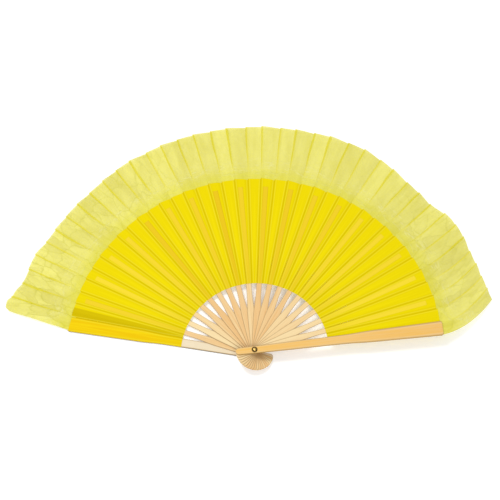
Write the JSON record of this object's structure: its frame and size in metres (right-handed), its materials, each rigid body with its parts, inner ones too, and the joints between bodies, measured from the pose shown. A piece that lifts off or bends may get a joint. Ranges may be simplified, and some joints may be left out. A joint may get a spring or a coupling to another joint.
{
  "type": "folding hand fan",
  "caption": "Folding hand fan with bamboo sticks on one rivet, a pleated cloth leaf and a sheer silk veil beyond it, lying open on its back guard.",
  "frame": {"origin": "on the rivet's axis, in the back guard's outer face, which the fan lies on", "axes": "+Z along the rivet from the back guard to the front guard, +Y the way the leaf opens, +X towards the front guard"},
  "size_m": [0.7789, 0.4218, 0.029],
  "materials": {
    "guard_bamboo": "satin varnished bamboo",
    "rib_bamboo": "plain split bamboo",
    "rivet_brass": "polished brass",
    "leaf_cloth": "closely woven yellow cloth",
    "veil_silk": "sheer yellow silk"
  },
  "bodies": {
    "back_guard": {"back_guard": "guard_bamboo", "rivet": "rivet_brass", "glued_pleat_00": "leaf_cloth"},
    "rib_01": {"rib_01": "rib_bamboo", "glued_pleat_01": "leaf_cloth"},
    "rib_02": {"rib_02": "rib_bamboo", "glued_pleat_02": "leaf_cloth"},
    "rib_03": {"rib_03": "rib_bamboo", "glued_pleat_03": "leaf_cloth"},
    "rib_04": {"rib_04": "rib_bamboo", "glued_pleat_04": "leaf_cloth"},
    "rib_05": {"rib_05": "rib_bamboo", "glued_pleat_05": "leaf_cloth"},
    "rib_06": {"rib_06": "rib_bamboo", "glued_pleat_06": "leaf_cloth"},
    "rib_07": {"rib_07": "rib_bamboo", "glued_pleat_07": "leaf_cloth"},
    "rib_08": {"rib_08": "rib_bamboo", "glued_pleat_08": "leaf_cloth"},
    "rib_09": {"rib_09": "rib_bamboo", "glued_pleat_09": "leaf_cloth"},
    "rib_10": {"rib_10": "rib_bamboo", "glued_pleat_10": "leaf_cloth"},
    "rib_11": {"rib_11": "rib_bamboo", "glued_pleat_11": "leaf_cloth"},
    "rib_12": {"rib_12": "rib_bamboo", "glued_pleat_12": "leaf_cloth"},
    "rib_13": {"rib_13": "rib_bamboo", "glued_pleat_13": "leaf_cloth"},
    "rib_14": {"rib_14": "rib_bamboo", "glued_pleat_14": "leaf_cloth"},
    "rib_15": {"rib_15": "rib_bamboo", "glued_pleat_15": "leaf_cloth"},
    "rib_16": {"rib_16": "rib_bamboo", "glued_pleat_16": "leaf_cloth"},
    "rib_17": {"rib_17": "rib_bamboo", "glued_pleat_17": "leaf_cloth"},
    "rib_18": {"rib_18": "rib_bamboo", "glued_pleat_18": "leaf_cloth"},
    "front_guard": {"front_guard": "guard_bamboo", "glued_pleat_19": "leaf_cloth"},
    "free_pleat_00": {"free_pleat_00": "leaf_cloth"},
    "free_pleat_01": {"free_pleat_01": "leaf_cloth"},
    "free_pleat_02": {"free_pleat_02": "leaf_cloth"},
    "free_pleat_03": {"free_pleat_03": "leaf_cloth"},
    "free_pleat_04": {"free_pleat_04": "leaf_cloth"},
    "free_pleat_05": {"free_pleat_05": "leaf_cloth"},
    "free_pleat_06": {"free_pleat_06": "leaf_cloth"},
    "free_pleat_07": {"free_pleat_07": "leaf_cloth"},
    "free_pleat_08": {"free_pleat_08": "leaf_cloth"},
    "free_pleat_09": {"free_pleat_09": "leaf_cloth"},
    "free_pleat_10": {"free_pleat_10": "leaf_cloth"},
    "free_pleat_11": {"free_pleat_11": "leaf_cloth"},
    "free_pleat_12": {"free_pleat_12": "leaf_cloth"},
    "free_pleat_13": {"free_pleat_13": "leaf_cloth"},
    "free_pleat_14": {"free_pleat_14": "leaf_cloth"},
    "free_pleat_15": {"free_pleat_15": "leaf_cloth"},
    "free_pleat_16": {"free_pleat_16": "leaf_cloth"},
    "free_pleat_17": {"free_pleat_17": "leaf_cloth"},
    "free_pleat_18": {"free_pleat_18": "leaf_cloth"}
  },
  "joints": [
    {"name": "fan_fold", "type": "hinge", "parent": "back_guard", "child": "front_guard", "pos_m": [0, 0, 0], "axis": [0, 0, 1], "range_deg": [0, 163]},
    {"name": "rib_01_turn", "type": "hinge", "parent": "back_guard", "child": "rib_01", "pos_m": [0, 0, 0], "axis": [0, 0, 1], "range_deg": [0, 8.57]},
    {"name": "rib_02_turn", "type": "hinge", "parent": "back_guard", "child": "rib_02", "pos_m": [0, 0, 0], "axis": [0, 0, 1], "range_deg": [0, 17.08]},
    {"name": "rib_03_turn", "type": "hinge", "parent": "back_guard", "child": "rib_03", "pos_m": [0, 0, 0], "axis": [0, 0, 1], "range_deg": [0, 25.53]},
    {"name": "rib_04_turn", "type": "hinge", "parent": "back_guard", "child": "rib_04", "pos_m": [0, 0, 0], "axis": [0, 0, 1], "range_deg": [0, 33.94]},
    {"name": "rib_05_turn", "type": "hinge", "parent": "back_guard", "child": "rib_05", "pos_m": [0, 0, 0], "axis": [0, 0, 1], "range_deg": [0, 42.31]},
    {"name": "rib_06_turn", "type": "hinge", "parent": "back_guard", "child": "rib_06", "pos_m": [0, 0, 0], "axis": [0, 0, 1], "range_deg": [0, 50.63]},
    {"name": "rib_07_turn", "type": "hinge", "parent": "back_guard", "child": "rib_07", "pos_m": [0, 0, 0], "axis": [0, 0, 1], "range_deg": [0, 58.91]},
    {"name": "rib_08_turn", "type": "hinge", "parent": "back_guard", "child": "rib_08", "pos_m": [0, 0, 0], "axis": [0, 0, 1], "range_deg": [0, 67.17]},
    {"name": "rib_09_turn", "type": "hinge", "parent": "back_guard", "child": "rib_09", "pos_m": [0, 0, 0], "axis": [0, 0, 1], "range_deg": [0, 75.41]},
    {"name": "rib_10_turn", "type": "hinge", "parent": "back_guard", "child": "rib_10", "pos_m": [0, 0, 0], "axis": [0, 0, 1], "range_deg": [0, 83.66]},
    {"name": "rib_11_turn", "type": "hinge", "parent": "back_guard", "child": "rib_11", "pos_m": [0, 0, 0], "axis": [0, 0, 1], "range_deg": [0, 91.95]},
    {"name": "rib_12_turn", "type": "hinge", "parent": "back_guard", "child": "rib_12", "pos_m": [0, 0, 0], "axis": [0, 0, 1], "range_deg": [0, 100.3]},
    {"name": "rib_13_turn", "type": "hinge", "parent": "back_guard", "child": "rib_13", "pos_m": [0, 0, 0], "axis": [0, 0, 1], "range_deg": [0, 108.76]},
    {"name": "rib_14_turn", "type": "hinge", "parent": "back_guard", "child": "rib_14", "pos_m": [0, 0, 0], "axis": [0, 0, 1], "range_deg": [0, 117.35]},
    {"name": "rib_15_turn", "type": "hinge", "parent": "back_guard", "child": "rib_15", "pos_m": [0, 0, 0], "axis": [0, 0, 1], "range_deg": [0, 126.11]},
    {"name": "rib_16_turn", "type": "hinge", "parent": "back_guard", "child": "rib_16", "pos_m": [0, 0, 0], "axis": [0, 0, 1], "range_deg": [0, 135.06]},
    {"name": "rib_17_turn", "type": "hinge", "parent": "back_guard", "child": "rib_17", "pos_m": [0, 0, 0], "axis": [0, 0, 1], "range_deg": [0, 144.22]},
    {"name": "rib_18_turn", "type": "hinge", "parent": "back_guard", "child": "rib_18", "pos_m": [0, 0, 0], "axis": [0, 0, 1], "range_deg": [0, 153.55]},
    {"name": "free_pleat_00_turn", "type": "hinge", "parent": "back_guard", "child": "free_pleat_00", "pos_m": [0, 0, 0], "axis": [0, 0, 1], "range_deg": [0, 4.29]},
    {"name": "free_pleat_01_turn", "type": "hinge", "parent": "back_guard", "child": "free_pleat_01", "pos_m": [0, 0, 0], "axis": [0, 0, 1], "range_deg": [0, 12.82]},
    {"name": "free_pleat_02_turn", "type": "hinge", "parent": "back_guard", "child": "free_pleat_02", "pos_m": [0, 0, 0], "axis": [0, 0, 1], "range_deg": [0, 21.3]},
    {"name": "free_pleat_03_turn", "type": "hinge", "parent": "back_guard", "child": "free_pleat_03", "pos_m": [0, 0, 0], "axis": [0, 0, 1], "range_deg": [0, 29.74]},
    {"name": "free_pleat_04_turn", "type": "hinge", "parent": "back_guard", "child": "free_pleat_04", "pos_m": [0, 0, 0], "axis": [0, 0, 1], "range_deg": [0, 38.12]},
    {"name": "free_pleat_05_turn", "type": "hinge", "parent": "back_guard", "child": "free_pleat_05", "pos_m": [0, 0, 0], "axis": [0, 0, 1], "range_deg": [0, 46.47]},
    {"name": "free_pleat_06_turn", "type": "hinge", "parent": "back_guard", "child": "free_pleat_06", "pos_m": [0, 0, 0], "axis": [0, 0, 1], "range_deg": [0, 54.77]},
    {"name": "free_pleat_07_turn", "type": "hinge", "parent": "back_guard", "child": "free_pleat_07", "pos_m": [0, 0, 0], "axis": [0, 0, 1], "range_deg": [0, 63.04]},
    {"name": "free_pleat_08_turn", "type": "hinge", "parent": "back_guard", "child": "free_pleat_08", "pos_m": [0, 0, 0], "axis": [0, 0, 1], "range_deg": [0, 71.29]},
    {"name": "free_pleat_09_turn", "type": "hinge", "parent": "back_guard", "child": "free_pleat_09", "pos_m": [0, 0, 0], "axis": [0, 0, 1], "range_deg": [0, 79.54]},
    {"name": "free_pleat_10_turn", "type": "hinge", "parent": "back_guard", "child": "free_pleat_10", "pos_m": [0, 0, 0], "axis": [0, 0, 1], "range_deg": [0, 87.81]},
    {"name": "free_pleat_11_turn", "type": "hinge", "parent": "back_guard", "child": "free_pleat_11", "pos_m": [0, 0, 0], "axis": [0, 0, 1], "range_deg": [0, 96.13]},
    {"name": "free_pleat_12_turn", "type": "hinge", "parent": "back_guard", "child": "free_pleat_12", "pos_m": [0, 0, 0], "axis": [0, 0, 1], "range_deg": [0, 104.53]},
    {"name": "free_pleat_13_turn", "type": "hinge", "parent": "back_guard", "child": "free_pleat_13", "pos_m": [0, 0, 0], "axis": [0, 0, 1], "range_deg": [0, 113.05]},
    {"name": "free_pleat_14_turn", "type": "hinge", "parent": "back_guard", "child": "free_pleat_14", "pos_m": [0, 0, 0], "axis": [0, 0, 1], "range_deg": [0, 121.73]},
    {"name": "free_pleat_15_turn", "type": "hinge", "parent": "back_guard", "child": "free_pleat_15", "pos_m": [0, 0, 0], "axis": [0, 0, 1], "range_deg": [0, 130.58]},
    {"name": "free_pleat_16_turn", "type": "hinge", "parent": "back_guard", "child": "free_pleat_16", "pos_m": [0, 0, 0], "axis": [0, 0, 1], "range_deg": [0, 139.64]},
    {"name": "free_pleat_17_turn", "type": "hinge", "parent": "back_guard", "child": "free_pleat_17", "pos_m": [0, 0, 0], "axis": [0, 0, 1], "range_deg": [0, 148.88]},
    {"name": "free_pleat_18_turn", "type": "hinge", "parent": "back_guard", "child": "free_pleat_18", "pos_m": [0, 0, 0], "axis": [0, 0, 1], "range_deg": [0, 158.28]}
  ],
  "couplings": [
    {"joint": "rib_01_turn", "follows": "fan_fold", "ratio": 0.052482},
    {"joint": "rib_02_turn", "follows": "fan_fold", "ratio": 0.10466},
    {"joint": "rib_03_turn", "follows": "fan_fold", "ratio": 0.15655},
    {"joint": "rib_04_turn", "follows": "fan_fold", "ratio": 0.20814},
    {"joint": "rib_05_turn", "follows": "fan_fold", "ratio": 0.25945},
    {"joint": "rib_06_turn", "follows": "fan_fold", "ratio": 0.3105},
    {"joint": "rib_07_turn", "follows": "fan_fold", "ratio": 0.36132},
    {"joint": "rib_08_turn", "follows": "fan_fold", "ratio": 0.41197},
    {"joint": "rib_09_turn", "follows": "fan_fold", "ratio": 0.46255},
    {"joint": "rib_10_turn", "follows": "fan_fold", "ratio": 0.51318},
    {"joint": "rib_11_turn", "follows": "fan_fold", "ratio": 0.56402},
    {"joint": "rib_12_turn", "follows": "fan_fold", "ratio": 0.61526},
    {"joint": "rib_13_turn", "follows": "fan_fold", "ratio": 0.66712},
    {"joint": "rib_14_turn", "follows": "fan_fold", "ratio": 0.71982},
    {"joint": "rib_15_turn", "follows": "fan_fold", "ratio": 0.77357},
    {"joint": "rib_16_turn", "follows": "fan_fold", "ratio": 0.8285},
    {"joint": "rib_17_turn", "follows": "fan_fold", "ratio": 0.88466},
    {"joint": "rib_18_turn", "follows": "fan_fold", "ratio": 0.94193},
    {"joint": "free_pleat_00_turn", "follows": "fan_fold", "ratio": 0.026241},
    {"joint": "free_pleat_01_turn", "follows": "fan_fold", "ratio": 0.078574},
    {"joint": "free_pleat_02_turn", "follows": "fan_fold", "ratio": 0.13061},
    {"joint": "free_pleat_03_turn", "follows": "fan_fold", "ratio": 0.18235},
    {"joint": "free_pleat_04_turn", "follows": "fan_fold", "ratio": 0.2338},
    {"joint": "free_pleat_05_turn", "follows": "fan_fold", "ratio": 0.28497},
    {"joint": "free_pleat_06_turn", "follows": "fan_fold", "ratio": 0.33591},
    {"joint": "free_pleat_07_turn", "follows": "fan_fold", "ratio": 0.38664},
    {"joint": "free_pleat_08_turn", "follows": "fan_fold", "ratio": 0.43726},
    {"joint": "free_pleat_09_turn", "follows": "fan_fold", "ratio": 0.48787},
    {"joint": "free_pleat_10_turn", "follows": "fan_fold", "ratio": 0.5386},
    {"joint": "free_pleat_11_turn", "follows": "fan_fold", "ratio": 0.58964},
    {"joint": "free_pleat_12_turn", "follows": "fan_fold", "ratio": 0.64119},
    {"joint": "free_pleat_13_turn", "follows": "fan_fold", "ratio": 0.69347},
    {"joint": "free_pleat_14_turn", "follows": "fan_fold", "ratio": 0.74669},
    {"joint": "free_pleat_15_turn", "follows": "fan_fold", "ratio": 0.80104},
    {"joint": "free_pleat_16_turn", "follows": "fan_fold", "ratio": 0.85658},
    {"joint": "free_pleat_17_turn", "follows": "fan_fold", "ratio": 0.9133},
    {"joint": "free_pleat_18_turn", "follows": "fan_fold", "ratio": 0.97097}
  ]
}
